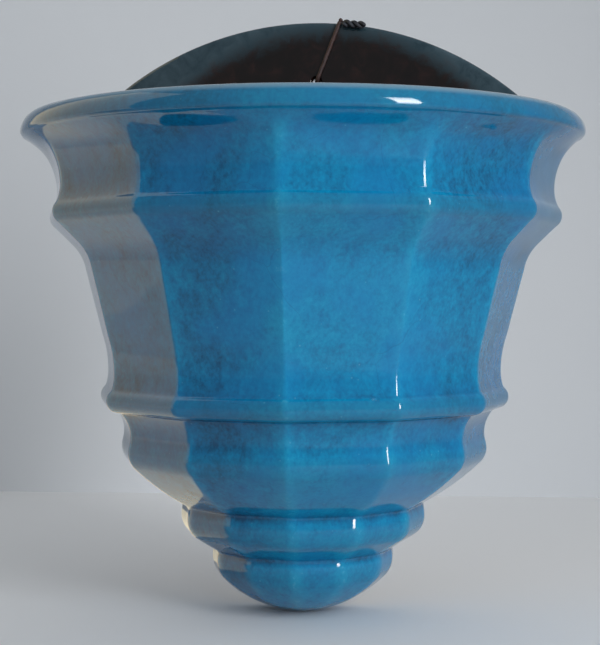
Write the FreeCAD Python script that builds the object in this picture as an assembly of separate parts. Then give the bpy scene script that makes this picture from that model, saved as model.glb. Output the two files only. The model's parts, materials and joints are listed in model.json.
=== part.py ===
import FreeCAD, Part
import math
import os

# A hanging wall vase: a faceted pocket of glazed earthenware with a flat back that rises
# above the lip as an arched tab, and a loop of wire through a hole in that tab.
#
# Frame: the wall is the plane y = 0 and the pocket stands out towards -Y. X is to the right
# as seen from the room, Z is up. The pocket's centre line is x = 0, and z = 0 is the height
# of the lip's widest line. Lengths are millimetres and angles are degrees.

Vector = FreeCAD.Vector

# Ceramic body
facet_count = 6
wall = 5.0
floor_thickness = 8.0
plate_thickness = 8.0

# Outside of the pocket, from the lip down to the point. The lip's radius is measured from
# the pocket's axis. Each share is the radius on an arris, as a share of the lip's radius,
# and each height runs from the line above to this one.
lip_radius = 99.0
lip_roll_radius = 6.25
lip_return_share = 0.984
lip_return_height = 1.4
cove_share = 0.897
cove_height = 17.9
shoulder_line_share = 0.910
shoulder_line_height = 5.7
shoulder_share = 0.924
shoulder_upper_height = 3.8
shoulder_foot_share = 0.901
shoulder_lower_height = 3.4
body_top_share = 0.838
body_top_height = 6.0
body_bend_share = 0.790
body_bend_height = 9.0
body_foot_share = 0.730
body_foot_height = 22.8
neck_share = 0.709
neck_height = 12.6
collar_line_share = 0.718
collar_line_height = 5.7
collar_share = 0.737
collar_upper_height = 3.0
collar_foot_share = 0.687
collar_lower_height = 4.6
band_share = 0.651
band_height = 8.6
belly_share = 0.660
belly_height = 5.4
belly_edge_share = 0.639
belly_edge_height = 5.0
belly_foot_share = 0.436
belly_foot_height = 14.7
belly_foot_bow = 0.8
upper_knob_share = 0.443
upper_knob_height = 4.6
upper_knob_edge_share = 0.404
upper_knob_edge_height = 6.6
upper_knob_foot_share = 0.325
upper_knob_foot_height = 4.9
lower_knob_share = 0.329
lower_knob_height = 3.4
lower_knob_edge_share = 0.301
lower_knob_edge_height = 6.4
point_share = 0.101
point_height = 11.2
point_bow = 1.5
tip_height = 1.1

# Arched tab above the lip. Its ends stand inside the lip's ends, and it is set back from
# the wall so that the wire fits behind it.
tab_inset = 12.0
tab_offset = 3.8
tab_rise = 34.5
tab_edge_round = 1.8
hole_radius = 2.5
hole_offset = 5.0
hole_rise = 13.15

# Wire
wire_diameter = 1.4
wire_clearance = 0.3
wire_wall_gap = 0.7
wire_bend_radius = 2.4
wire_lean = 21.5
twist_turns = 1.5
twist_length = 8.0
twist_gap = 0.05
twist_drop = 1.3

# How far a cutting tool or an overlapping joint runs past the surface it crosses
overrun = 1.0

# Values that follow from the sizes above
half_facet = 180 / facet_count / 2
apothem_share = math.cos(math.radians(half_facet))
wire_radius = wire_diameter / 2
plate_front = -plate_thickness
tab_rear = -(wire_wall_gap + wire_diameter + wire_clearance)
tab_thickness = tab_rear - plate_front
lip_top = lip_roll_radius
lip_crown_radius = lip_radius - lip_roll_radius
lip_return_radius = lip_radius * lip_return_share
mouth_radius = lip_radius - 2 * lip_roll_radius
tab_top = lip_top + tab_rise
tab_half_width = lip_crown_radius - tab_inset
tab_radius = (tab_half_width ** 2 + tab_rise ** 2) / (2 * tab_rise)
tab_centre = Vector(tab_offset, 0, tab_top - tab_radius)
hole_centre = Vector(hole_offset, 0, lip_top + hole_rise)

DOWN = Vector(0, 0, -1)
INWARD = Vector(-1, 0, 0)


def arc_middle(start, end, direction):
    """Middle of the arc that leaves start along direction and arrives at end."""
    chord = end - start
    along = FreeCAD.Vector(direction).normalize()
    unit = FreeCAD.Vector(chord).normalize()
    turn = along.getAngle(unit)
    side = along - unit * along.dot(unit)
    side.normalize()
    return (start + end) / 2 + side * (chord.Length / 2 * math.tan(turn / 2))


class Outline:
    """Lines and arcs joined end to end, in the plane of radius (x) and height (z).

    A point is given by its share of a base radius and by its drop below the last point.
    """

    def __init__(self, base, share, height):
        self.base = base
        self.here = Vector(base * share, 0, height)
        self.edges = []

    def next_point(self, share, drop):
        return Vector(self.base * share, 0, self.here.z - drop)

    def add_arc(self, middle, end):
        self.edges.append(Part.Arc(self.here, middle, end).toShape())
        self.here = end

    def line(self, share, drop):
        end = self.next_point(share, drop)
        self.edges.append(Part.LineSegment(self.here, end).toShape())
        self.here = end

    def leave(self, share, drop, direction=DOWN):
        """Arc whose start follows direction."""
        end = self.next_point(share, drop)
        self.add_arc(arc_middle(self.here, end, direction), end)

    def arrive(self, share, drop, direction=DOWN):
        """Arc whose end follows direction."""
        end = self.next_point(share, drop)
        self.add_arc(arc_middle(end, self.here, direction * -1), end)

    def bow(self, share, drop, height):
        """Arc that stands out by a given height from its chord."""
        end = self.next_point(share, drop)
        chord = end - self.here
        outward = Vector(-chord.z, 0, chord.x).normalize()
        self.add_arc((self.here + end) / 2 + outward * height, end)

    def ridge(self, share, upper, foot_share, lower):
        """Arc out over a ridge and back in to its foot."""
        crest = self.next_point(share, upper)
        end = self.next_point(foot_share, upper + lower)
        self.add_arc(crest, end)


def pocket_outline(base):
    """Outside of the pocket from under the lip to the tip, for a lip of radius base."""
    path = Outline(base, lip_return_share, -lip_return_height)
    path.arrive(cove_share, cove_height)
    path.leave(shoulder_line_share, shoulder_line_height)
    path.ridge(shoulder_share, shoulder_upper_height, shoulder_foot_share, shoulder_lower_height)
    path.line(body_top_share, body_top_height)
    slope = Vector((body_top_share - shoulder_foot_share) * base, 0, -body_top_height)
    path.leave(body_bend_share, body_bend_height, slope)
    path.line(body_foot_share, body_foot_height)
    path.arrive(neck_share, neck_height)
    path.leave(collar_line_share, collar_line_height)
    path.ridge(collar_share, collar_upper_height, collar_foot_share, collar_lower_height)
    path.arrive(band_share, band_height)
    path.leave((band_share + belly_share) / 2, belly_height / 2)
    path.arrive(belly_share, belly_height / 2)
    path.leave(belly_edge_share, belly_edge_height)
    path.bow(belly_foot_share, belly_foot_height, belly_foot_bow)
    path.arrive(upper_knob_share, upper_knob_height)
    path.leave(upper_knob_edge_share, upper_knob_edge_height)
    path.line(upper_knob_foot_share, upper_knob_foot_height)
    path.arrive(lower_knob_share, lower_knob_height)
    path.leave(lower_knob_edge_share, lower_knob_edge_height)
    path.bow(point_share, point_height, point_bow)
    path.arrive(0, tip_height, INWARD)
    return path


def lip_outline():
    """Outside of the lip, from its crown to the edge of its underside."""
    crown = Vector(lip_crown_radius, 0, lip_top)
    crest = Vector(lip_radius, 0, 0)
    corner = Vector(lip_return_radius, 0, -lip_return_height)
    upper = Part.Arc(crown, arc_middle(crest, crown, DOWN * -1), crest).toShape()
    lower = Part.Arc(crest, arc_middle(crest, corner, DOWN), corner).toShape()
    return [upper, lower]


def closed_face(edges, points):
    """Face bounded by joined edges and by the straight lines from point to point."""
    lines = [Part.LineSegment(a, b).toShape() for a, b in zip(points, points[1:])]
    return Part.Face(Part.Wire(edges + lines))


def half_turn(face):
    """Revolve a face over the half circle in front of the plate, about the pocket's axis."""
    solid = face.revolve(Vector(0, 0, 0), Vector(0, 0, -1), 180)
    solid.translate(Vector(0, plate_front, 0))
    return solid


def faceted_body():
    """Solid half of the twelve-sided vessel, one wedge for each facet."""
    outline = pocket_outline(lip_radius * apothem_share)
    depth = -outline.here.z
    top = Vector(0, 0, -lip_return_height)
    rim = Vector(lip_return_radius * apothem_share, 0, -lip_return_height)
    face = closed_face(outline.edges, [outline.here, top, rim])
    half_width = lip_radius * math.sin(math.radians(half_facet)) + overrun
    slab = face.copy()
    slab.translate(Vector(0, -half_width, 0))
    slab = slab.extrude(Vector(0, 2 * half_width, 0))
    reach = lip_radius + overrun
    spread = reach * math.tan(math.radians(half_facet))
    floor_z = -depth - overrun
    corners = [
        Vector(0, 0, floor_z),
        Vector(reach, -spread, floor_z),
        Vector(reach, spread, floor_z),
    ]
    sector = Part.Face(Part.makePolygon(corners + corners[:1]))
    sector = sector.extrude(Vector(0, 0, depth + 2 * overrun))
    wedge = slab.common(sector)
    wedges = []
    for number in range(facet_count):
        turned = wedge.copy()
        angle = -180 + half_facet * (2 * number + 1)
        turned.rotate(Vector(0, 0, 0), Vector(0, 0, 1), angle)
        turned.translate(Vector(0, plate_front, 0))
        wedges.append(turned)
    return wedges[0].fuse(wedges[1:])


def lip_ring():
    """Rolled lip, round in plan, with its inner half closing onto the wall."""
    inner = Vector(mouth_radius, 0, 0)
    crown = Vector(lip_crown_radius, 0, lip_top)
    rounding = Part.Arc(inner, arc_middle(inner, crown, DOWN * -1), crown).toShape()
    corner = Vector(lip_return_radius, 0, -lip_return_height)
    foot = Vector(mouth_radius, 0, -lip_return_height)
    return half_turn(closed_face([rounding] + lip_outline(), [corner, foot, inner]))


def cavity():
    """Inside of the pocket: round, one wall's thickness inside the facets."""
    path = pocket_outline(lip_radius * apothem_share)
    heights = [edge.lastVertex().Point.z for edge in path.edges]
    stations = [
        (cove_share, heights[0]),
        (shoulder_foot_share, heights[2]),
        (body_top_share, heights[3]),
        (body_bend_share, heights[4]),
        (neck_share, heights[6]),
        (band_share, heights[9]),
        (belly_share, heights[11]),
        (belly_edge_share, heights[12]),
        (belly_foot_share, heights[13]),
        (upper_knob_foot_share, heights[16]),
    ]
    points = [Vector(mouth_radius, 0, -lip_return_height)]
    for share, height in stations:
        points.append(Vector(lip_radius * share * apothem_share - wall, 0, height))
    curve = Part.BSplineCurve()
    curve.interpolate(points)
    side = curve.toShape()
    bottom = path.here + Vector(0, 0, floor_thickness)
    bowl = Part.Arc(points[-1], arc_middle(bottom, points[-1], INWARD * -1), bottom).toShape()
    above = Vector(0, 0, overrun)
    edge = Vector(mouth_radius, 0, overrun)
    return half_turn(closed_face([side, bowl], [bottom, above, edge, points[0]]))


def make_front_shell():
    body = faceted_body().cut(cavity())
    return body.fuse(lip_ring()).removeSplitter()


def mirrored(edges):
    """The same edges on the other side of the centre line, in reverse order."""
    centre = Vector(0, 0, 0)
    return [edge.mirror(centre, Vector(1, 0, 0)).Edges[0] for edge in reversed(edges)]


def make_tab():
    """Arched tab: a disc with a rounded rim, kept only above the lip."""
    edge_round = min(tab_edge_round, tab_thickness / 2)
    rim = tab_radius - edge_round
    front = tab_rear - tab_thickness
    diagonal = edge_round * math.cos(math.radians(45))
    front_arc = Part.Arc(
        Vector(rim, front, 0),
        Vector(rim + diagonal, front + edge_round - diagonal, 0),
        Vector(tab_radius, front + edge_round, 0),
    ).toShape()
    rear_arc = Part.Arc(
        Vector(tab_radius, tab_rear - edge_round, 0),
        Vector(rim + diagonal, tab_rear - edge_round + diagonal, 0),
        Vector(rim, tab_rear, 0),
    ).toShape()
    corners = [
        Vector(rim, tab_rear, 0),
        Vector(0, tab_rear, 0),
        Vector(0, front, 0),
        Vector(rim, front, 0),
    ]
    edges = [front_arc, rear_arc]
    if tab_thickness > 2 * edge_round:
        flat = (front_arc.lastVertex().Point, rear_arc.firstVertex().Point)
        edges.insert(1, Part.LineSegment(*flat).toShape())
    edges += [Part.LineSegment(a, b).toShape() for a, b in zip(corners, corners[1:])]
    disc = Part.Face(Part.Wire(edges)).revolve(Vector(0, 0, 0), Vector(0, 1, 0), 360)
    disc.translate(tab_centre)
    width = 2 * (tab_radius + tab_offset) + 2 * overrun
    foot = lip_top - overrun
    keep = Part.makeBox(width, plate_thickness + 2 * overrun, tab_rise + 2 * overrun)
    keep.translate(Vector(-width / 2, plate_front - overrun, foot))
    return disc.common(keep)


def make_back_plate():
    """Slab with the pocket's own outline, the tab above it and the hole for the wire."""
    right = lip_outline() + pocket_outline(lip_radius).edges
    crown = Vector(lip_crown_radius, 0, lip_top)
    face = closed_face(right + mirrored(right), [Vector(-crown.x, 0, crown.z), crown])
    slab = face.extrude(Vector(0, plate_front, 0))
    drill = Part.makeCylinder(
        hole_radius,
        plate_thickness + 2 * overrun,
        hole_centre + Vector(0, plate_front - overrun, 0),
        Vector(0, 1, 0),
    )
    return slab.fuse(make_tab()).cut(drill).removeSplitter()


def loop_reach():
    """Distance from the hole's centre to the wire's own centre above the tab's edge."""
    lean = math.radians(wire_lean)
    across = hole_centre.x - tab_centre.x
    up = hole_centre.z - tab_centre.z
    along = across * math.sin(lean) + up * math.cos(lean)
    limit = tab_radius + wire_clearance + wire_radius
    return -along + math.sqrt(along ** 2 - across ** 2 - up ** 2 + limit ** 2)


def lean_over(shape):
    """Turn a shape about the hole's axis, from upright to where the wire leans."""
    shape.rotate(hole_centre, Vector(0, 1, 0), wire_lean)
    return shape


def front_run():
    return plate_front - wire_clearance - wire_radius


def make_hanging_wire():
    """Closed loop: through the hole, up the front, over the edge and down the back."""
    rear_run = tab_rear + wire_clearance + wire_radius
    depth = rear_run - front_run()
    height = loop_reach()
    bend = min(wire_bend_radius, depth / 2 - wire_clearance)
    middle = bend * (1 - math.cos(math.radians(45)))
    low = Vector(hole_centre.x, front_run(), hole_centre.z)
    across = Vector(0, 1, 0)
    upward = Vector(0, 0, 1)
    sides = [(across, upward, depth), (upward, across * -1, height)]
    sides += [(across * -1, upward * -1, depth), (upward * -1, across, height)]
    edges = []
    corner = low
    for along, inward, length in sides:
        start = corner + along * bend
        corner = corner + along * length
        end = corner - along * bend
        edges.append(Part.LineSegment(start, end).toShape())
        turn = corner - along * middle + inward * middle
        edges.append(Part.Arc(end, turn, corner + inward * bend).toShape())
    spine = Part.Wire(edges)
    start = edges[0].firstVertex().Point
    ring = Part.Wire(Part.makeCircle(wire_radius, start, across))
    return lean_over(spine.makePipeShell([ring], True, False))


def twist_strand(start, along, side, phase, radius):
    """One strand wound round the line from start along the twist."""
    third = along.cross(side)
    arcs_per_turn = 8
    count = int(math.ceil(twist_turns * arcs_per_turn))
    step = twist_turns * 360 / count

    def point(turned):
        angle = math.radians(turned + phase)
        around = side * math.cos(angle) + third * math.sin(angle)
        return start + along * (twist_length * turned / (twist_turns * 360)) + around * radius

    edges = []
    for number in range(count):
        first = number * step
        arc = Part.Arc(point(first), point(first + step / 2), point(first + step))
        edges.append(arc.toShape())
    spine = Part.Wire(edges)
    direction = edges[0].tangentAt(edges[0].FirstParameter)
    ring = Part.Wire(Part.makeCircle(wire_radius, point(0), direction))
    return spine.makePipeShell([ring], True, False)


def make_wire_twist():
    """The wire's two ends, wound round each other along the front of the tab's edge."""
    radius = wire_radius + twist_gap
    lean = math.radians(wire_lean)
    reach = loop_reach()
    top = hole_centre + Vector(reach * math.sin(lean), 0, reach * math.cos(lean))
    outward = (top - tab_centre).normalize()
    along = Vector(outward.z, 0, -outward.x)
    start = top + along * (wire_radius + wire_clearance) - outward * twist_drop
    start.y = front_run() - radius
    side = Vector(0, 1, 0)
    strands = [twist_strand(start, along, side, phase, radius) for phase in (0, 180)]
    return Part.Compound(strands)


def save(shape, name):
    shape.exportStep("parts/" + name + ".step")


os.makedirs("parts", exist_ok=True)
save(make_front_shell(), "front_shell")
save(make_back_plate(), "back_plate")
save(make_hanging_wire(), "hanging_wire")
save(make_wire_twist(), "wire_twist")
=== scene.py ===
import json
import math

import bmesh
import bpy
import numpy as np
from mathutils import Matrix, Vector
from mathutils.geometry import delaunay_2d_cdt


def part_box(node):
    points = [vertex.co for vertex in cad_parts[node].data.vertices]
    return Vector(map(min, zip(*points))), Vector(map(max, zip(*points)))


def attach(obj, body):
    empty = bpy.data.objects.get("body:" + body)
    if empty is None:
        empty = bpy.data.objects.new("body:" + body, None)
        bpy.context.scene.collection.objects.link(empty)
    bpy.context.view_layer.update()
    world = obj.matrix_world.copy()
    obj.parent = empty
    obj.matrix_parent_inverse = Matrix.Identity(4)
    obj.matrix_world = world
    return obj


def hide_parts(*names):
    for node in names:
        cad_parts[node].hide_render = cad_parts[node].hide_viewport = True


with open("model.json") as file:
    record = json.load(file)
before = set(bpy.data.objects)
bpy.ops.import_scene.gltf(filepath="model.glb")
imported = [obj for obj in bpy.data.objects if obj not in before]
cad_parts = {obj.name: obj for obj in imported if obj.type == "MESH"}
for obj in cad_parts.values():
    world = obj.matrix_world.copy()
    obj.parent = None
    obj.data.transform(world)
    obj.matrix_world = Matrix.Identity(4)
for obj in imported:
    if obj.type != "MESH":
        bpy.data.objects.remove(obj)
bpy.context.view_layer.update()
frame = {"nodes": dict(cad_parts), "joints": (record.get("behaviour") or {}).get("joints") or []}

# A hanging wall vase in glazed earthenware: the faceted pocket, the slab behind it with its
# arched tab, and the loop of rusty wire. Lengths are metres. The wall is the plane y = 0, the
# pocket stands out towards -Y, and z = 0 is the lip's widest line.

shell_low, shell_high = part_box("front_shell")
plate_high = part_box("back_plate")[1]
wire_low, wire_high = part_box("hanging_wire")
twist_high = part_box("wire_twist")[1]

# Sizes that the frame gives
plate_front = shell_high.y
lip_radius = shell_high.x
lip_top = shell_high.z
crown_radius = lip_radius - lip_top
tip_height = shell_low.z
hole_x, hole_z = frame["joints"][0]["pos_m"][0], frame["joints"][0]["pos_m"][2]

# Facets, and the mesh's columns on half of one: shares of the rounded arris, then of the flat
facet_count = 6
half_facet = math.radians(90 / facet_count)
arris_columns = np.array([0, 0.25, 0.5, 0.75, 1])
flat_columns = np.array([0.12, 0.45, 1])
widest_arris = 0.45
roundest_arris = 0.8
seam_gap = 0.00002

# Profile: how soft its creases are, and how far apart the mesh's rings lie along it
crease_softness = 0.00055
blur_reach = 4
path_step = 0.0001
match_digits = 6
bend_window = 0.0008
least_bend = 1e-6
turn_per_ring = 0.05
fine_ring = 0.00045
coarse_ring = 0.0016
inner_ring = 0.0030

# Heights where the round lip begins to turn into facets, and where it has done so
round_until = -0.0014
facets_full = -0.0075

# Rounding of the arrises, as (height, radius) from the lip down to the tip
arris_rounding = [
    (-0.002, 0.0140),
    (-0.010, 0.0085),
    (-0.022, 0.0060),
    (-0.032, 0.0040),
    (-0.040, 0.0018),
    (-0.060, 0.0018),
    (-0.078, 0.0028),
    (-0.092, 0.0042),
    (-0.112, 0.0040),
    (-0.125, 0.0060),
    (-0.132, 0.0110),
    (-0.150, 0.0120),
    (-0.167, 0.0100),
]

# Unevenness of the hand-finished wall: its depth, the length past the lip's crown and the angle
# from the slab over which it begins, and the (turn, climb, phase, weight) of each wave
hand_wave = 0.00030
wave_start = 0.006
wave_fade = 0.35
wave_pattern = [(3.1, 61, 0.7, 1.0), (5.3, -97, 2.1, 1.0), (1.7, 143, 4.0, 0.7)]

# Glaze: the (width, full depth, weight) at which it gathers in creases, where the blue is also
# darkened as painted crease shade, the width of the pale line on an arris, and where past the
# crown the inside's brown turns into the outside's blue
pool_and_shade_widths = [(0.0014, 0.00028, 0.55), (0.0036, 0.0010, 0.60)]
arris_band = 0.0024
blue_begins = -0.0035
blue_full = -0.0015

# Slab and tab
tab_offset = 0.0038
tab_inset = 0.0120
tab_setback = 0.0024
ledge_width = 0.0012
seam_round = 0.00035
slab_round = 0.0012
tab_round = 0.0018
tab_blend = 0.003
bare_begins = 0.75

# Hole in the tab, which the glaze narrows from its mouth on each side
hole_mouth = 0.0025
hole_round = 0.0009
hole_points = 40

# Mesh of the slab
top_step = 0.0008
arc_steps = 400
corner_softness = 0.0007
corner_blend = 8
rim_steps = 5
normal_passes = 6
cap_spacing = 0.0060
rim_clearance = cap_spacing / 3
ledge_rows = np.linspace(-0.2, 1.2, 8)
merge_distance = 1e-7

# Wire. Its cross-sections are laid out from a direction that no length of it runs in.
wire_radius = 0.0007
wire_bend = 0.0024
wire_lean = math.radians(21.5)
wire_softness = wire_radius / 2
edge_clearance = 0.0002
loop_gap = 0.00048
bend_steps = 9
wire_sides = 14
wire_step = 0.00035
wire_pits = 0.00004
wire_end = 0.0003
wire_end_share = 0.45
off_wire = (0.31, 0.22, 0.92)
loop_seed = 3

# Twist: how far along and below the loop's top it starts, and how its strands wind
twist_gap_along = 0.0003
twist_drop = 0.0013
twist_turns = 1.6
twist_gap = 0.00004
twist_swell = 0.10
swell_rate = 5
strand_steps = 90
strand_seeds = (7, 8)

# Camera, which stands a little to the right of the pocket and below its lip
camera_distance = 0.5351
camera_yaw = math.radians(4.6)
camera_height = -0.05675
sensor_width = 36
nearest_seen = 0.01
photo_width, photo_height = 600, 645
photo_focal = 1502.7
photo_axis_x = 302.5
photo_eye_y = 297.0

# Studio
floor_height = tip_height - 0.0004
wall_distance = 0.302
stage_reach = 3.0
stage_height = 2.4
stage_roughness = 0.9
stage_specular = 0.2
floor_colour = (0.84, 0.85, 0.86)
backdrop_colour = (0.72, 0.75, 0.785)
world_colour = (0.92, 0.96, 1.0)
world_light = 0.27
world_seen = 0.48

# Two warm cards at the left, one upright and one on the floor: their left, rear, front and
# right ends, and the upright one's height
card_colour = (1.0, 0.81, 0.42)
card_left = -0.45
card_rear = 0.29
upright_front = -0.30
upright_height = 0.90
flat_front = -0.05
flat_right = -0.06
flat_lift = 0.0005


def smooth_step(low, high, value):
    """0 below low, 1 above high and a soft step between; low may be the larger."""
    share = np.clip((np.asarray(value, float) - low) / (high - low), 0, 1)
    return share * share * (3 - 2 * share)


def blur(values, sigma, step):
    """Gaussian blur of evenly spaced values."""
    reach = int(math.ceil(blur_reach * sigma / step))
    kernel = np.exp(-0.5 * (np.arange(-reach, reach + 1) * step / sigma) ** 2)
    kernel /= kernel.sum()
    padded = np.pad(values, reach, mode="edge")
    return np.convolve(padded, kernel, "valid")


def blur_points(points, sigma, step):
    """Gaussian blur of each coordinate of evenly spaced points."""
    return np.stack([blur(column, sigma, step) for column in points.T], 1)


def lengths_along(points):
    """Distance along a polyline to each of its points."""
    return np.concatenate([[0], np.cumsum(np.linalg.norm(np.diff(points, axis=0), axis=1))])


def resample(points, stations):
    """Points of a polyline at the given distances along it."""
    along = lengths_along(points)
    return np.stack([np.interp(stations, along, column) for column in points.T], 1)


def new_piece(name, vertices, faces, body):
    """Mesh object with outward normals, riding on a body."""
    mesh = bpy.data.meshes.new(name)
    mesh.from_pydata([tuple(v) for v in vertices], [], faces)
    shape = bmesh.new()
    shape.from_mesh(mesh)
    bmesh.ops.recalc_face_normals(shape, faces=shape.faces)
    shape.to_mesh(mesh)
    shape.free()
    mesh.shade_smooth()
    piece = bpy.data.objects.new(name, mesh)
    bpy.context.scene.collection.objects.link(piece)
    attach(piece, body)
    return piece


def add_values(piece, name, values):
    """One number per vertex, which the materials read by name."""
    attribute = piece.data.attributes.new(name, "FLOAT", "POINT")
    attribute.data.foreach_set("value", np.asarray(values, np.float32))


# Profile of the pocket


def pocket_section():
    """Wall of the pocket where it meets the slab, as (radius, height).

    The path runs from the floor's centre up the inside, over the lip and down to the tip.
    """
    mesh = frame["nodes"]["front_shell"].data
    near = path_step / 10
    uses, links = {}, {}
    for face in mesh.polygons:
        corners = [mesh.vertices[i].co for i in face.vertices]
        if max(abs(corner.y - plate_front) for corner in corners) > near:
            continue
        flat = [(round(corner.x, match_digits), round(corner.z, match_digits))
                for corner in corners]
        for pair in zip(flat, flat[1:] + flat[:1]):
            uses[frozenset(pair)] = uses.get(frozenset(pair), 0) + 1
    for pair in [pair for pair, count in uses.items() if count == 1 and len(pair) == 2]:
        for a, b in (tuple(pair), tuple(pair)[::-1]):
            links.setdefault(a, []).append(b)
    on_axis = [point for point in links if abs(point[0]) < near]
    path = [max(on_axis, key=lambda point: point[1])]
    ahead = [point for point in links[path[0]] if point[0] > 0]
    while ahead:
        path.append(ahead[0])
        ahead = [point for point in links[path[-1]] if point != path[-2] and point[0] >= 0]
        if path[-1][0] < near:
            break
    return np.array(path)


def pocket_profile():
    """Whole wall of the pocket, evened out, from the floor's centre to the tip.

    Returns the points and, for each, its distance along the path past the lip's crown.
    """
    corners = pocket_section()
    total = lengths_along(corners)[-1]
    stations = np.arange(0, total, path_step)
    points = resample(corners, np.append(stations, total))
    reach = int(blur_reach * crease_softness / path_step) + 1
    before = points[reach:0:-1] * [-1, 1]
    after = points[-2:-reach - 2:-1] * [-1, 1]
    soft = blur_points(np.vstack([before, points, after]), crease_softness, path_step)
    soft = soft[reach:-reach]
    soft[0, 0] = soft[-1, 0] = 0
    return soft, lengths_along(soft) - lengths_along(soft)[soft[:, 1].argmax()]


def ring_places(points, past_crown):
    """Which points of the profile get a ring: close together where it turns."""
    turn = np.gradient(np.unwrap(np.arctan2(*np.gradient(points, axis=0).T)))
    bend = blur(abs(turn), bend_window, path_step) / path_step
    spacing = np.clip(turn_per_ring / (bend + least_bend), fine_ring, coarse_ring)
    spacing = np.where(past_crown < -lip_top * 2, np.maximum(spacing, inner_ring), spacing)
    count = np.cumsum(path_step / spacing)
    places = np.searchsorted(count, np.arange(0, count[-1], 1.0))
    return np.unique(np.concatenate([places, [len(points) - 1]]))


def pool_and_shade_depth(points):
    """How the glaze gathers along the profile: positive in hollows, where it also sets painted
    crease shade, negative on edges.
    """
    along = np.gradient(points, axis=0)
    outward = np.stack([-along[:, 1], along[:, 0]], 1)
    outward /= np.linalg.norm(outward, axis=1)[:, None]
    depth = 0
    for width, full, weight in pool_and_shade_widths:
        away = blur_points(points, width, path_step) - points
        depth = depth + weight * np.clip((away * outward).sum(1) / full, -1, 1)
    return np.clip(depth, -1, 1)


# Pocket


def arris_reach(radius, rounding):
    """Angle from an arris at which its rounding meets the flat of the facet."""
    apothem = radius * math.cos(half_facet)
    flat = (apothem - rounding) * math.tan(half_facet)
    return half_facet - math.atan2(flat, apothem)


def section_radius(radius, rounding, roundness, from_arris):
    """Distance from the axis to the wall, at angles from the nearest arris."""
    apothem = radius * math.cos(half_facet)
    centre = (apothem - rounding) / math.cos(half_facet)
    flat = apothem / np.cos(half_facet - from_arris)
    under_root = np.maximum(rounding ** 2 - (centre * np.sin(from_arris)) ** 2, 0)
    rounded = centre * np.cos(from_arris) + np.sqrt(under_root)
    faceted = np.where(from_arris < arris_reach(radius, rounding), rounded, flat)
    return faceted * (1 - roundness) + radius * roundness


def column_angles(radius, rounding):
    """Angles of a ring's columns from the front, and each one's angle from its arris."""
    reach = min(arris_reach(radius, rounding), half_facet * widest_arris)
    half = np.concatenate([reach * arris_columns, reach + (half_facet - reach) * flat_columns])
    facet_steps = np.concatenate([half, 2 * half_facet - half[-2::-1]])
    angles = [-math.pi / 2 + 2 * half_facet * k + facet_steps[:-1] for k in range(facet_count)]
    angles = np.concatenate(angles + [[math.pi / 2]])
    turned = (angles + math.pi / 2) % (2 * half_facet)
    return angles, np.minimum(turned, 2 * half_facet - turned)


def hand_waves(angles, height):
    """Slight hollows of a hand-finished wall, which die out at the slab."""
    wave = sum(weight * np.sin(turn * angles + climb * height + phase)
               for turn, climb, phase, weight in wave_pattern)
    most = sum(weight for *_, weight in wave_pattern)
    fade = smooth_step(0, wave_fade, math.pi / 2 - abs(angles))
    return hand_wave * fade * (wave / most + 1) / 2


def make_shell():
    """The glazed pocket: rings round it, closed at the floor's centre, the tip and the slab.

    Returns the piece, the (radius, height) of each outer ring's end at the slab, and how the
    glaze gathers there, which also sets painted crease shade.
    """
    points, past_crown = pocket_profile()
    depth = pool_and_shade_depth(points)
    places = ring_places(points, past_crown)
    heights, roundings = np.array(arris_rounding).T
    vertices, pool, outside, arris = [], [], [], []
    rings, ends = [], []
    for place in places[1:-1]:
        radius, height = points[place]
        past = past_crown[place]
        outer = past > 0
        roundness = float(smooth_step(facets_full, round_until, height)) if outer else 1.0
        rounding = min(np.interp(-height, -heights, roundings), radius * roundest_arris)
        angles, from_arris = column_angles(radius, rounding)
        reach = section_radius(radius, rounding, roundness, from_arris)
        if outer:
            reach = reach - hand_waves(angles, height) * smooth_step(0, wave_start, past)
            ends.append((reach[-1], height))
        rings.append(range(len(vertices), len(vertices) + len(angles)))
        vertices.extend(np.stack([
            reach * np.sin(angles),
            plate_front - seam_gap - reach * np.cos(angles),
            np.full_like(angles, height),
        ], 1))
        pool.extend(np.full(len(angles), depth[place]))
        arris.extend(np.exp(-(from_arris * radius / arris_band) ** 2) * (1 - roundness))
        outside.extend(np.full(len(angles), smooth_step(blue_begins, blue_full, past)))
    centre, tip = len(vertices), len(vertices) + 1
    for place, blue in ((places[0], 0.0), (places[-1], 1.0)):
        vertices.append(np.array([0, plate_front - seam_gap, points[place][1]]))
        pool.append(0.0)
        arris.append(0.0)
        outside.append(blue)
    faces = []
    for a, b in zip(rings, rings[1:]):
        faces += [(a[i], a[i + 1], b[i + 1], b[i]) for i in range(len(a) - 1)]
    faces += [(centre, rings[0][i + 1], rings[0][i]) for i in range(len(rings[0]) - 1)]
    faces += [(tip, rings[-1][i], rings[-1][i + 1]) for i in range(len(rings[-1]) - 1)]
    for column in (0, -1):
        faces.append([centre] + [ring[column] for ring in rings] + [tip])
    shell = new_piece("front_shell_glazed", vertices, faces, "root")
    add_values(shell, "pool", pool)
    add_values(shell, "arris", arris)
    add_values(shell, "outside", outside)
    add_values(shell, "bare", np.zeros(len(vertices)))
    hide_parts("front_shell")
    return shell, np.array(ends), depth[places[1:-1]][-len(ends):]


# Slab with its tab


def arch():
    """Centre and radius of the tab's arched edge, and half its width."""
    half_width = crown_radius - tab_inset
    rise = plate_high.z - lip_top
    radius = (half_width ** 2 + rise ** 2) / (2 * rise)
    return np.array([tab_offset, plate_high.z - radius]), radius, half_width


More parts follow.
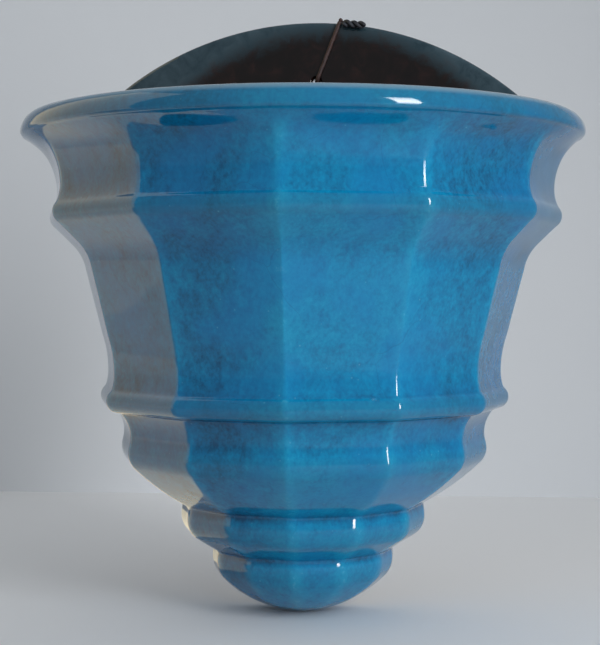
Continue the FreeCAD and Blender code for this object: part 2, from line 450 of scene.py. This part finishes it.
def plate_boundary(ends):
    """Closed outline of slab and tab, clockwise from the right crown, in x and z."""
    centre, radius, half_width = arch()
    right = np.array([tab_offset + half_width, lip_top])
    left = np.array([tab_offset - half_width, lip_top])
    spread = math.asin(half_width / radius)
    turns = np.linspace(-spread, spread, arc_steps)
    arc = centre + radius * np.stack([np.sin(turns), np.cos(turns)], 1)
    crown = ends[0]
    top = np.vstack([[-crown[0], crown[1]], [left], arc, [right], [crown]])
    length = lengths_along(top)[-1]
    count = int(length / top_step)
    even = resample(top, np.linspace(0, length, count))
    soft = blur_points(even, corner_softness, length / count)
    from_end = np.minimum(np.arange(count), np.arange(count)[::-1])
    top = even + (soft - even) * np.minimum(1, from_end / corner_blend)[:, None]
    return np.vstack([ends, ends[:-1][::-1] * [-1, 1], top[1:-1]])


def outward_normals(loop):
    """Outward direction at each point of a closed clockwise loop, evened out along it."""
    along = np.roll(loop, -1, axis=0) - np.roll(loop, 1, axis=0)
    side = np.stack([-along[:, 1], along[:, 0]], 1)
    side /= np.linalg.norm(side, axis=1)[:, None]
    for _ in range(normal_passes):
        side = side * 2 + np.roll(side, 1, axis=0) + np.roll(side, -1, axis=0)
        side /= np.linalg.norm(side, axis=1)[:, None]
    return side


def rear_surface(height):
    """Rear of the slab, and of the tab that is set back above it."""
    return -tab_setback * smooth_step(lip_top - ledge_width, lip_top, height)


def rim_loops(loop, outward, front_round, rear_round):
    """Loops of points round an edge, from the front face over the side to the rear face."""
    turns = np.linspace(0, math.pi / 2, rim_steps)
    loops = []
    for turn in turns:
        inset = front_round * (1 - math.sin(turn))
        depth = plate_front + front_round * (1 - math.cos(turn))
        loops.append((loop - outward * inset[:, None], depth))
    rear = rear_surface(loop[:, 1])
    for turn in turns[::-1]:
        inset = rear_round * (1 - math.sin(turn))
        loops.append((loop - outward * inset[:, None], rear - rear_round * (1 - math.cos(turn))))
    return loops


def inside(point, loop):
    """Whether a point lies inside a closed loop."""
    a, b = loop, np.roll(loop, -1, axis=0)
    crosses = (a[:, 1] > point[1]) != (b[:, 1] > point[1])
    with np.errstate(divide="ignore", invalid="ignore"):
        at = a[:, 0] + (point[1] - a[:, 1]) * (b[:, 0] - a[:, 0]) / (b[:, 1] - a[:, 1])
    return np.count_nonzero(crosses & (point[0] < at)) % 2 == 1


def inner_points(outer, hole):
    """Evenly spread points inside a face, clear of its edges, with more rows on the ledge."""
    low, high = outer.min(0), outer.max(0)
    rows = np.arange(low[1] + cap_spacing / 2, high[1], cap_spacing * math.sqrt(3) / 2)
    rows = np.sort(np.append(rows, lip_top - ledge_width * ledge_rows))
    found = []
    for number, z in enumerate(rows):
        shift = cap_spacing / 2 * (number % 2)
        for x in np.arange(low[0] + shift, high[0], cap_spacing):
            point = np.array([x, z])
            clear = min(np.linalg.norm(outer - point, axis=1).min(),
                        np.linalg.norm(hole - point, axis=1).min())
            if clear > rim_clearance and inside(point, outer) and not inside(point, hole):
                found.append(point)
    return np.array(found)


class PlateMesh:
    """The slab's vertices, with a value of each kind per vertex, and its faces."""

    def __init__(self):
        self.vertices, self.faces = [], []
        self.values = {"outside": [], "bare": [], "pool": []}

    def add_points(self, points, depth, **values):
        """Vertices at points in x and z; returns their numbers."""
        first, count = len(self.vertices), len(points)
        depths = np.broadcast_to(depth, count)
        self.vertices.extend(np.stack([points[:, 0], depths, points[:, 1]], 1))
        for name, column in self.values.items():
            column.extend(np.broadcast_to(values.get(name, 0.0), count))
        return np.arange(first, first + count)

    def add_band(self, a, b):
        """Faces between two closed loops of vertices."""
        following = np.roll(np.arange(len(a)), -1)
        self.faces += [(a[i], a[j], b[j], b[i]) for i, j in enumerate(following)]

    def add_cap(self, outer_ids, outer, hole_ids, hole, rear):
        """Flat face between the outline and the hole."""
        extra = inner_points(outer, hole)
        depth = rear_surface(extra[:, 1]) if rear else plate_front
        extra_ids = self.add_points(extra, depth, bare=1.0 if rear else 0.0)
        ids = np.concatenate([outer_ids, hole_ids, extra_ids])
        flat = [Vector(point) for point in np.vstack([outer, hole, extra])]
        links = []
        for start, size in ((0, len(outer)), (len(outer), len(hole))):
            links += [(start + i, start + (i + 1) % size) for i in range(size)]
        made = delaunay_2d_cdt(flat, links, [], 4, merge_distance)
        corners, triangles, origins = made[0], made[2], made[3]
        for triangle in triangles:
            centre = np.mean([corners[i] for i in triangle], axis=0)
            if not inside(centre, hole):
                self.faces.append(tuple(ids[origins[i][0]] for i in triangle))


def make_plate(ends, end_pool):
    """The slab with its tab, from the outer rings' ends and how the glaze gathers there, with its
    painted crease shade.
    """
    boundary = plate_boundary(ends)
    on_tab = smooth_step(lip_top, lip_top + tab_blend, boundary[:, 1])
    front_round = seam_round + (tab_round - seam_round) * on_tab
    rear_round = slab_round + (tab_round - slab_round) * on_tab
    pool = np.zeros(len(boundary))
    pool[:2 * len(ends) - 1] = np.concatenate([end_pool, end_pool[:-1][::-1]])
    turns = np.linspace(0, 2 * math.pi, hole_points, endpoint=False)
    circle = np.stack([np.sin(turns), np.cos(turns)], 1)
    throat = np.array([hole_x, hole_z]) + (hole_mouth - hole_round) * circle
    even_round = np.full(hole_points, hole_round)
    edges = [
        (rim_loops(boundary, outward_normals(boundary), front_round, rear_round), 1 - on_tab, pool),
        (rim_loops(throat, -circle, even_round, even_round), 0.0, 0.0),
    ]
    mesh = PlateMesh()
    fronts, rears = [], []
    for loops, blue, gathered_and_shaded in edges:
        ids = []
        for level, (points, depth) in enumerate(loops):
            bare = smooth_step(bare_begins, 1.0, level / (len(loops) - 1))
            ids.append(mesh.add_points(points, depth, outside=blue if level > 0 else 0.0,
                                       bare=bare, pool=gathered_and_shaded))
        for a, b in zip(ids, ids[1:]):
            mesh.add_band(a, b)
        fronts += [ids[0], loops[0][0]]
        rears += [ids[-1], loops[-1][0]]
    mesh.add_cap(*fronts, rear=False)
    mesh.add_cap(*rears, rear=True)
    plate = new_piece("back_plate_glazed", mesh.vertices, mesh.faces, "root")
    for name, values in mesh.values.items():
        add_values(plate, name, values)
    add_values(plate, "arris", np.zeros(len(mesh.vertices)))
    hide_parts("back_plate")
    return plate


# Wire


def rounded_path(corners, bend):
    """Polyline through corners, each turned with a curve that starts a bend before it."""
    points = [corners[0]]
    for before, corner, after in zip(corners, corners[1:], corners[2:]):
        back = (before - corner).normalized() * bend
        on = (after - corner).normalized() * bend
        for share in np.linspace(0, 1, bend_steps):
            start, end = corner + back * (1 - share), corner + on * share
            points.append(start.lerp(end, share))
    points.append(corners[-1])
    return points


def tube(path, seed):
    """Vertices and faces of wire along a path, slightly pitted, with rounded ends."""
    points = np.array([tuple(p) for p in path])
    total = lengths_along(points)[-1]
    stations = np.linspace(0, total, int(total / wire_step))
    centres = resample(points, stations)
    soft = blur_points(centres, wire_softness, total / len(stations))
    centres[1:-1] = soft[1:-1]
    random = np.random.default_rng(seed)
    tangents = np.gradient(centres, axis=0)
    tangents /= np.linalg.norm(tangents, axis=1)[:, None]
    side = np.cross(tangents[0], off_wire)
    turns = np.linspace(0, 2 * math.pi, wire_sides, endpoint=False)
    pits = random.normal(0, wire_pits, (len(centres), wire_sides))
    pits = blur_points(pits, wire_step, wire_step)
    vertices, faces = [], []
    for number, (centre, tangent) in enumerate(zip(centres, tangents)):
        side = side - tangent * side.dot(tangent)
        side /= np.linalg.norm(side)
        third = np.cross(tangent, side)
        from_end = min(stations[number], total - stations[number])
        narrow = math.sqrt(max(0.0, 1 - max(0.0, 1 - from_end / wire_end) ** 2))
        reach = (wire_radius + pits[number]) * (wire_end_share + (1 - wire_end_share) * narrow)
        ring = np.cos(turns)[:, None] * side + np.sin(turns)[:, None] * third
        vertices.extend(centre + ring * reach[:, None])
    for ring in range(len(centres) - 1):
        a, b = ring * wire_sides, (ring + 1) * wire_sides
        for i in range(wire_sides):
            j = (i + 1) % wire_sides
            faces.append((a + i, a + j, b + j, b + i))
    faces.append(list(range(wire_sides)))
    faces.append(list(range(len(vertices) - wire_sides, len(vertices))))
    return vertices, faces


def loop_top(hole, up):
    """Top of the loop, just clear of the arched edge, and the way out from the edge there."""
    centre, radius, _ = arch()
    middle = Vector((centre[0], 0, centre[1]))
    offset = hole - middle
    along = offset.dot(up)
    limit = radius + edge_clearance + wire_radius
    top = hole + up * (-along + math.sqrt(along ** 2 - offset.length_squared + limit ** 2))
    return top, (top - middle).normalized()


def wire_paths():
    """Paths of the loop and of its two ends, which wind round each other beside it."""
    front = wire_low.y + wire_radius
    rear = wire_high.y - wire_radius
    hole = Vector((hole_x, 0, hole_z))
    up = Vector((math.sin(wire_lean), 0, math.cos(wire_lean)))
    top, out = loop_top(hole, up)
    along = Vector((out.z, 0, -out.x))
    side = Vector((0, 1, 0))
    reach = wire_radius + twist_gap
    start = top + along * (wire_radius + twist_gap_along) - out * twist_drop
    start.y = front - reach
    length = (twist_high.x - start.x - wire_radius) / along.x

    def strand(phase):
        points = []
        for share in np.linspace(0, 1, strand_steps):
            turn = phase + 2 * math.pi * twist_turns * share
            spread = reach * (1 + twist_swell * math.sin(swell_rate * share + phase))
            around = side * math.cos(turn) + along.cross(side) * math.sin(turn)
            points.append(start + along * (length * share) + around * spread)
        return points

    low_front, low_rear, top_rear, top_front = (
        Vector((at.x, y, at.z))
        for at, y in ((hole, front), (hole, rear), (top, rear), (top, front)))
    loop_start = top_front - up * loop_gap
    loop = rounded_path([loop_start, low_front, low_rear, top_rear, top_front], wire_bend)
    return loop, strand(math.pi), strand(0)


def make_wires():
    """The loop, and the twist of its two ends."""
    loop, *strands = wire_paths()
    vertices, faces = tube(loop, loop_seed)
    wire = new_piece("hanging_wire_rusty", vertices, faces, "wire_loop")
    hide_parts("hanging_wire")
    vertices, faces = [], []
    for strand, seed in zip(strands, strand_seeds):
        points, quads = tube(strand, seed)
        start = len(vertices)
        vertices += points
        faces += [tuple(start + i for i in quad) for quad in quads]
    twist = new_piece("wire_twist_dark", vertices, faces, "wire_loop")
    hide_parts("wire_twist")
    return wire, twist


# Materials. Colours are linear red, green and blue, a ramp gives them at levels from 0 to 1,
# and a pair such as (0.40, 0.66) is where a step begins and where it is done.

glaze_ior = 1.5

blue_ramp = [
    (0.05, (0.004, 0.056, 0.135)),
    (0.28, (0.003, 0.128, 0.275)),
    (0.50, (0.002, 0.205, 0.400)),
    (0.72, (0.006, 0.270, 0.470)),
    (1.00, (0.100, 0.430, 0.580)),
]
brown_ramp = [
    (0.30, (0.0030, 0.0020, 0.0020)),
    (0.52, (0.0060, 0.0032, 0.0032)),
    (0.75, (0.0200, 0.0080, 0.0070)),
]
thin_brown_ramp = [
    (0.30, (0.022, 0.0100, 0.0075)),
    (0.52, (0.036, 0.0170, 0.0120)),
    (0.75, (0.070, 0.0340, 0.0220)),
]
teal_ramp = [
    (0.30, (0.0150, 0.035, 0.048)),
    (0.70, (0.0440, 0.076, 0.096)),
]
clay_ramp = [
    (0.25, (0.300, 0.215, 0.140)),
    (0.55, (0.440, 0.335, 0.235)),
    (0.80, (0.560, 0.450, 0.340)),
]
rust_ramp = [
    (0.25, (0.018, 0.0090, 0.0085)),
    (0.50, (0.050, 0.0240, 0.0210)),
    (0.75, (0.110, 0.0560, 0.0460)),
]
iron_ramp = [
    (0.30, (0.018, 0.021, 0.029)),
    (0.70, (0.044, 0.050, 0.064)),
]

# Blue glaze: how its level on the ramp is made up
drawn_stretch = (1, 1, 0.80)
mottle_size, mottle_weight = 0.0040, 0.54
grain_size, grain_weight = 0.0012, 0.46
# The weight for hollows darkens the blue there: partly glaze that gathers, partly painted shade in
# the creases
start_level, pool_weight, arris_weight = -0.01, -0.25, 0.19
# Painted shade: the blue is darker towards the right from x = 0.030 to 0.072 and towards the left
# from x = -0.002 to -0.022
right_shade_span, right_shade_weight = (0.030, 0.072), -0.17
left_shade_span, left_shade_weight = (-0.002, -0.022), -0.20

# Blue glaze: what is laid over it, each with its colour and share
violet_blue, violet_share = (0.003, 0.165, 0.405), 0.45
cloud_size, cloud_band = 0.024, (0.40, 0.66)
thin_blue, rim_share, broken_share = (0.020, 0.115, 0.190), 0.45, 0.35
rim_band = (-0.0030, 0.0010)
worn_blue, worn_share = (0.250, 0.380, 0.440), 0.50
worn_band = (lip_top - 0.0026, lip_top - 0.0008)
fleck_blue, fleck_share = (0.006, 0.075, 0.215), 0.34
fleck_size, fleck_band = 0.0010, (0.60, 0.72)
crowd_size, crowd_band, crowd_on_arris = 0.017, (0.45, 0.68), 0.5
crack_blue, crack_share = (0.004, 0.060, 0.140), 0.22
crack_size, crack_band, crack_cloud = 0.034, (0.0060, 0.0015), (0.38, 0.60)
crack_bend_size, crack_bend = 0.015, 0.010
speck_blue, speck_share = (0.120, 0.430, 0.560), 0.25
speck_size, speck_band, speck_chosen = 0.0030, (0.13, 0.05), (0.72, 0.76)

# Brown glaze: its mottle, where it is thin, and its teal edge, which narrows at the middle
brown_mottle = 0.006
thin_band = (-0.004, -0.040)
teal_wobble = 0.012
teal_band = (0.0075, -0.0010)
teal_spread = 2.6
teal_middle = 0.018
teal_above = (lip_top - 0.001, lip_top + 0.002)

# Bare clay, and the ragged edges of all zones
clay_grain, smear_size, smear_stretch = 0.0016, 0.022, (1, 1, 0.5)
smear_band, smear_share, smear_colour = (0.55, 0.70), 0.55, (0.070, 0.110, 0.130)
ragged_size, ragged_weight = 0.003, 0.8
outside_band, bare_band = (0.35, 0.65), (0.40, 0.60)
wiped_band = (lip_top + 0.0002, lip_top - ledge_width)

# Surface: gloss, and reliefs as (size of the pattern, height)
gloss_size, gloss_from, gloss_roughness = 0.012, (0.3, 0.7), (0.035, 0.080)
bare_roughness = 0.78
wave_relief = (0.011, 0.00010)
peel_relief = (0.0024, 0.000003)
clay_relief = (0.0009, 0.00009)

# Wire: size of the rust's scales and patches, where a patch shows, roughness and relief
scale_size, patch_size, patch_band = 0.0016, 0.0035, (0.35, 0.70)
wire_scales, wire_roughness = (0.3, 0.7), (0.45, 0.80)
wire_relief = (0.0005, 0.00005)


class Shader:
    """Node tree of one material, built from left to right."""

    def __init__(self, name):
        self.material = bpy.data.materials.new(name)
        self.material.use_nodes = True
        self.tree = self.material.node_tree
        self.surface = self.tree.nodes["Principled BSDF"]

    def node(self, kind, inputs=None, **settings):
        """New node with its settings, and with values or links for its inputs."""
        node = self.tree.nodes.new("ShaderNode" + kind)
        for key, value in settings.items():
            setattr(node, key, value)
        for key, value in (inputs or {}).items():
            self.feed(node.inputs[key], value)
        return node

    def feed(self, socket, value):
        """Link a node's output to an input, or set the input to a plain value."""
        if isinstance(value, bpy.types.NodeSocket):
            self.tree.links.new(value, socket)
        else:
            socket.default_value = value

    def math(self, operation, first, second=0.0, third=0.0, clamp=False):
        """Result of an operation on up to three values."""
        inputs = {0: first, 1: second, 2: third}
        return self.node("Math", inputs, operation=operation, use_clamp=clamp).outputs[0]

    def times(self, first, *others):
        """Product of values."""
        for other in others:
            first = self.math("MULTIPLY", first, other)
        return first

    def plus(self, level, value, weight, clamp=False):
        """A level with a weighted value added to it."""
        return self.math("MULTIPLY_ADD", value, weight, level, clamp)

    def mix(self, share, first, second):
        """Colour between two, of which the second may be plain red, green and blue."""
        made = self.node("Mix", data_type="RGBA")
        self.feed(made.inputs[0], share)
        self.feed(made.inputs[6], first)
        self.feed(made.inputs[7], (*second, 1) if isinstance(second, tuple) else second)
        return made.outputs[2]

    def value(self, name):
        """One of the mesh's own values."""
        return self.node("Attribute", attribute_name=name).outputs["Fac"]

    def place(self, stretch=(1, 1, 1)):
        """Position on the piece in metres; a factor below 1 draws patterns out."""
        coordinates = self.node("TexCoord").outputs["Object"]
        return self.node("Mapping", {"Vector": coordinates, "Scale": stretch}).outputs[0]

    def parts(self, vector):
        """A vector's x, y and z."""
        return self.node("SeparateXYZ", {0: vector}).outputs[:]

    def noise(self, size, place, detail=3.0, rough=0.5, distortion=0.0):
        """Noise whose features are about size metres across."""
        made = self.node("TexNoise", {
            "Vector": place, "Scale": 1 / size, "Detail": detail,
            "Roughness": rough, "Distortion": distortion,
        })
        return made.outputs["Fac"]

    def cells(self, size, place, **settings):
        """Cells about size metres across."""
        return self.node("TexVoronoi", {"Vector": place, "Scale": 1 / size}, **settings).outputs

    def step(self, value, low, high):
        """0 at low, 1 at high, and soft between."""
        made = self.node("MapRange", {0: value, 1: low, 2: high}, interpolation_type="SMOOTHSTEP")
        return made.outputs[0]

    def spread(self, value, source, target):
        """A value from the source range brought evenly into the target range."""
        inputs = {0: value, 1: source[0], 2: source[1], 3: target[0], 4: target[1]}
        return self.node("MapRange", inputs).outputs[0]

    def ramp(self, value, stops):
        """Colour at a level, from a ramp's levels and colours."""
        made = self.node("ValToRGB", {0: value})
        elements = made.color_ramp.elements
        while len(elements) < len(stops):
            elements.new(0.5)
        for element, (position, colour) in zip(elements, stops):
            element.position = position
            element.color = (*colour, 1)
        return made.outputs[0]

    def bump(self, height, distance, normal=None):
        """Relief of a height from 0 to 1, distance metres high."""
        inputs = {"Height": height, "Distance": distance, "Strength": 1.0}
        made = self.node("Bump", inputs)
        if normal is not None:
            self.feed(made.inputs["Normal"], normal)
        return made.outputs[0]

    def finish(self, colour, roughness, normal):
        """The material, once its surface has its colour, roughness and relief."""
        self.feed(self.surface.inputs["Base Color"], colour)
        self.feed(self.surface.inputs["Roughness"], roughness)
        self.feed(self.surface.inputs["Normal"], normal)
        self.surface.inputs["IOR"].default_value = glaze_ior
        return self.material


def blue_level(shader, place, drawn, pool):
    """Level of the blue glaze on its ramp: lower in hollows, where it gathers and where crease
    shade is painted, and lower towards the sides as painted shade.
    """
    across = shader.parts(place)[0]
    mottle = shader.noise(mottle_size, drawn, detail=4.0, rough=0.62, distortion=0.1)
    level = shader.math("MULTIPLY_ADD", mottle, mottle_weight, start_level)
    layers = [
        (shader.noise(grain_size, drawn, detail=2.0, rough=0.6), grain_weight),
        # Darker in hollows: glaze that gathers there, and painted shade in the creases
        (shader.math("MAXIMUM", pool, 0.0), pool_weight),
        (shader.value("arris"), arris_weight),
        # Painted shade on the facets towards the right and towards the left
        (shader.step(across, *right_shade_span), right_shade_weight),
        (shader.step(across, *left_shade_span), left_shade_weight),
    ]
    for value, weight in layers:
        level = shader.plus(level, value, weight)
    return level


def cracks(shader, place, cloud):
    """Fine bent lines of crazing, here and there."""
    noise = shader.node("TexNoise", {
        "Vector": place, "Scale": 1 / crack_bend_size, "Detail": 3.0,
    })
    bent = shader.node("VectorMath", {0: noise.outputs["Color"], 1: (crack_bend,) * 3, 2: place},
                       operation="MULTIPLY_ADD").outputs[0]
    edges = shader.cells(crack_size, bent, feature="DISTANCE_TO_EDGE")["Distance"]
    return shader.times(shader.step(edges, *crack_band), shader.step(cloud, *crack_cloud))


def blue_glaze(shader):
    """Turquoise glaze: softly mottled, drawn downwards, darker in hollows, where it gathers and
    where crease shade is painted, and darker at the sides as painted shade.
    """
    place, drawn = shader.place(), shader.place(drawn_stretch)
    height = shader.parts(place)[2]
    pool, arris = shader.value("pool"), shader.value("arris")
    cloud = shader.noise(cloud_size, place, detail=2.0)
    colour = shader.ramp(blue_level(shader, place, drawn, pool), blue_ramp)
    violet = shader.times(shader.step(cloud, *cloud_band), violet_share)
    colour = shader.mix(violet, colour, violet_blue)
    rim = shader.times(shader.step(height, *rim_band), rim_share)
    edge = shader.math("MAXIMUM", shader.times(pool, -1.0), 0.0)
    thin = shader.math("MAXIMUM", rim, shader.times(edge, broken_share))
    colour = shader.mix(thin, colour, thin_blue)
    worn = shader.times(shader.step(height, *worn_band), worn_share)
    colour = shader.mix(worn, colour, worn_blue)
    crowd = shader.step(shader.noise(crowd_size, place, rough=0.6), *crowd_band)
    crowd = shader.plus(crowd, arris, crowd_on_arris, clamp=True)
    flecks = shader.step(shader.noise(fleck_size, drawn, rough=0.7), *fleck_band)
    colour = shader.mix(shader.times(flecks, crowd, fleck_share), colour, fleck_blue)
    crack = shader.times(cracks(shader, place, cloud), crack_share)
    colour = shader.mix(crack, colour, crack_blue)
    cells = shader.cells(speck_size, place)
    speck = shader.step(cells["Distance"], *speck_band)
    chosen = shader.step(cells["Color"], *speck_chosen)
    return shader.mix(shader.times(speck, chosen, speck_share), colour, speck_blue)


def brown_glaze(shader):
    """Brown-black glaze, thinner inside, that turns teal towards the tab's arched edge."""
    place = shader.place()
    centre, radius, _ = arch()
    x, _, z = shader.parts(place)
    flat = shader.node("CombineXYZ", {0: x, 2: z}).outputs[0]
    away = shader.node("VectorMath", {0: flat, 1: (centre[0], 0, centre[1])},
                       operation="DISTANCE").outputs["Value"]
    mottle = shader.noise(brown_mottle, place, detail=5.0, rough=0.65, distortion=0.5)
    edge = shader.plus(radius - teal_wobble / 2, mottle, teal_wobble)
    from_edge = shader.math("SUBTRACT", edge, away)
    off_middle = shader.math("ADD", x, -teal_middle)
    from_edge = shader.plus(from_edge, shader.times(off_middle, off_middle), -teal_spread)
    teal = shader.times(shader.step(from_edge, *teal_band), shader.step(z, *teal_above))
    thin = shader.ramp(mottle, thin_brown_ramp)
    brown = shader.mix(shader.step(z, *thin_band), shader.ramp(mottle, brown_ramp), thin)
    return shader.mix(teal, brown, shader.ramp(mottle, teal_ramp))


def bare_clay(shader):
    """Buff earthenware where the glaze was wiped off, with smears of it left."""
    place = shader.place()
    grain = shader.noise(clay_grain, place, detail=6.0, rough=0.7)
    smear = shader.noise(smear_size, shader.place(smear_stretch), detail=4.0, rough=0.6,
                         distortion=1.2)
    smear = shader.times(shader.step(smear, *smear_band), smear_share)
    return shader.mix(smear, shader.ramp(grain, clay_ramp), smear_colour)


def pottery(name):
    """Glazed earthenware, which takes its zones from the mesh's own values."""
    shader = Shader(name)
    place = shader.place()
    ragged = shader.math("SUBTRACT", shader.noise(ragged_size, place), 0.5)
    ragged = shader.times(ragged, ragged_weight)
    outside = shader.math("ADD", shader.value("outside"), ragged)
    wiped = shader.times(shader.value("bare"), shader.step(shader.parts(place)[2], *wiped_band))
    bare = shader.step(shader.math("ADD", wiped, ragged), *bare_band)
    colour = shader.mix(shader.step(outside, *outside_band), brown_glaze(shader),
                        blue_glaze(shader))
    colour = shader.mix(bare, colour, bare_clay(shader))
    gloss = shader.spread(shader.noise(gloss_size, place), gloss_from, gloss_roughness)
    roughness = shader.node("Mix", {0: bare, 2: gloss, 3: bare_roughness}).outputs[0]
    size, height = wave_relief
    waves = shader.bump(shader.noise(size, place, detail=1.0, rough=0.4), height)
    size, height = peel_relief
    peel = shader.bump(shader.noise(size, place, detail=1.0), height, waves)
    size, height = clay_relief
    grain = shader.times(bare, shader.noise(size, place, detail=4.0, rough=0.7))
    return shader.finish(colour, roughness, shader.bump(grain, height, peel))


def metal(name, ramp, patch_ramp, patches, metallic):
    """Iron wire in one ramp's colours, with patches of the other's."""
    shader = Shader(name)
    place = shader.place()
    scales = shader.noise(scale_size, place, detail=5.0, rough=0.7, distortion=0.3)
    patchy = shader.step(shader.noise(patch_size, place), *patch_band)
    colour = shader.mix(shader.times(patchy, patches), shader.ramp(scales, ramp),
                        shader.ramp(scales, patch_ramp))
    shader.surface.inputs["Metallic"].default_value = metallic
    roughness = shader.spread(scales, wire_scales, wire_roughness)
    size, height = wire_relief
    relief = shader.bump(shader.noise(size, place, detail=4.0, rough=0.7), height)
    return shader.finish(colour, roughness, relief)


def stage_material(name, colour):
    """Plain matt stage surface, not shown to the camera from behind."""
    shader = Shader(name)
    shader.surface.inputs["Base Color"].default_value = (*colour, 1)
    shader.surface.inputs["Roughness"].default_value = stage_roughness
    shader.surface.inputs["Specular IOR Level"].default_value = stage_specular
    facing_away = shader.node("NewGeometry").outputs["Backfacing"]
    seen = shader.node("LightPath").outputs["Is Camera Ray"]
    clear = shader.node("BsdfTransparent").outputs[0]
    mixed = shader.node("MixShader", {
        0: shader.times(facing_away, seen), 1: shader.surface.outputs[0], 2: clear,
    })
    output = shader.tree.nodes["Material Output"]
    shader.tree.links.new(mixed.outputs[0], output.inputs["Surface"])
    return shader.material


# Stage, lights and camera


def plane(name, corners, material):
    """Flat board of the stage."""
    mesh = bpy.data.meshes.new(name)
    mesh.from_pydata(corners, [], [(0, 1, 2, 3)])
    board = bpy.data.objects.new(name, mesh)
    bpy.context.scene.collection.objects.link(board)
    board.data.materials.append(material)
    return board


def make_stage():
    """The floor, and a backdrop well behind the vase."""
    low, far, wide, top = floor_height, wall_distance, stage_reach, stage_height
    plane("floor", [(-wide, -wide, low), (wide, -wide, low), (wide, far, low), (-wide, far, low)],
          stage_material("floor_matt", floor_colour))
    plane("backdrop", [(-wide, far, low), (wide, far, low), (wide, far, top), (-wide, far, top)],
          stage_material("backdrop_matt", backdrop_colour))


def area_light(name, size, radiance, colour=(1, 1, 1)):
    """Soft rectangular lamp, at the origin until it is placed."""
    lamp = bpy.data.lights.new(name, "AREA")
    lamp.shape = "RECTANGLE"
    lamp.size, lamp.size_y = size
    lamp.energy = radiance * math.pi * size[0] * size[1]
    lamp.color = colour
    holder = bpy.data.objects.new(name, lamp)
    bpy.context.scene.collection.objects.link(holder)
    return holder


def aim(holder, azimuth, elevation, distance):
    """Place a lamp so that it looks at the pocket. Azimuth 0 is in front, 90 to the right."""
    across, up = math.radians(azimuth), math.radians(elevation)
    away = Vector((math.sin(across) * math.cos(up), -math.cos(across) * math.cos(up), math.sin(up)))
    holder.location = Vector((0, plate_front, camera_height)) + away * distance
    holder.rotation_euler = (-away).to_track_quat("-Z", "Y").to_euler()


def make_lights():
    """A window at the right, an even ceiling, and two warm cards that only the glaze shows."""
    window = area_light("window", size=(0.13, 0.62), radiance=3.1)
    aim(window, azimuth=41, elevation=13, distance=0.75)
    window.data.spread = math.radians(70)
    window.visible_camera = False
    ceiling = area_light("ceiling", size=(2.00, 2.00), radiance=0.54)
    aim(ceiling, azimuth=20, elevation=66, distance=1.70)
    ceiling.visible_glossy = False
    size = (upright_height, card_rear - upright_front)
    upright = area_light("room_wall", size, radiance=1.0, colour=card_colour)
    upright.location = (card_left, (card_rear + upright_front) / 2,
                        floor_height + upright_height / 2)
    upright.rotation_euler = (0, -math.pi / 2, 0)
    size = (flat_right - card_left, card_rear - flat_front)
    flat = area_light("room_floor", size, radiance=0.72, colour=card_colour)
    flat.location = ((card_left + flat_right) / 2, (card_rear + flat_front) / 2,
                     floor_height + flat_lift)
    flat.rotation_euler = (math.pi, 0, 0)
    for card in (upright, flat):
        card.visible_diffuse = False
        card.visible_camera = False
    bpy.context.scene.world = studio_world()


def studio_world():
    """Even dim light, which the camera sees as a pale backdrop."""
    world = bpy.data.worlds.new("studio")
    world.use_nodes = True
    tree = world.node_tree
    background = tree.nodes["Background"]
    background.inputs[0].default_value = (*world_colour, 1)
    rays = tree.nodes.new("ShaderNodeLightPath")
    strength = tree.nodes.new("ShaderNodeMath")
    strength.operation = "MULTIPLY_ADD"
    strength.inputs[1].default_value = world_seen - world_light
    strength.inputs[2].default_value = world_light
    tree.links.new(rays.outputs["Is Camera Ray"], strength.inputs[0])
    tree.links.new(strength.outputs[0], background.inputs[1])
    return world


def make_camera():
    """The photo's camera: its lens, its height and the way it is turned."""
    lens = bpy.data.cameras.new("camera")
    lens.sensor_width = sensor_width
    lens.lens = photo_focal * sensor_width / photo_height
    lens.clip_start = nearest_seen
    axis = Vector((0, plate_front, camera_height))
    back = Vector((math.sin(camera_yaw), -math.cos(camera_yaw), 0))
    across = math.atan((photo_axis_x - photo_width / 2) / photo_focal)
    down = math.atan((photo_height / 2 - photo_eye_y) / photo_focal)
    holder = bpy.data.objects.new("camera", lens)
    holder.location = axis + back * camera_distance
    holder.rotation_euler = (math.pi / 2 - down, 0, camera_yaw + across)
    bpy.context.scene.collection.objects.link(holder)
    bpy.context.scene.camera = holder


make_camera()
shell, ends, end_pool = make_shell()
plate = make_plate(ends, end_pool)
wire, twist = make_wires()
shell.data.materials.append(pottery("blue_glaze_outside"))
plate.data.materials.append(pottery("brown_glaze_back"))
wire.data.materials.append(metal("rusty_wire", rust_ramp, iron_ramp, patches=0.30, metallic=0.15))
twist.data.materials.append(metal("dark_wire", iron_ramp, rust_ramp, patches=0.12, metallic=0.35))
make_stage()
make_lights()
bpy.context.scene.view_settings.view_transform = "Standard"
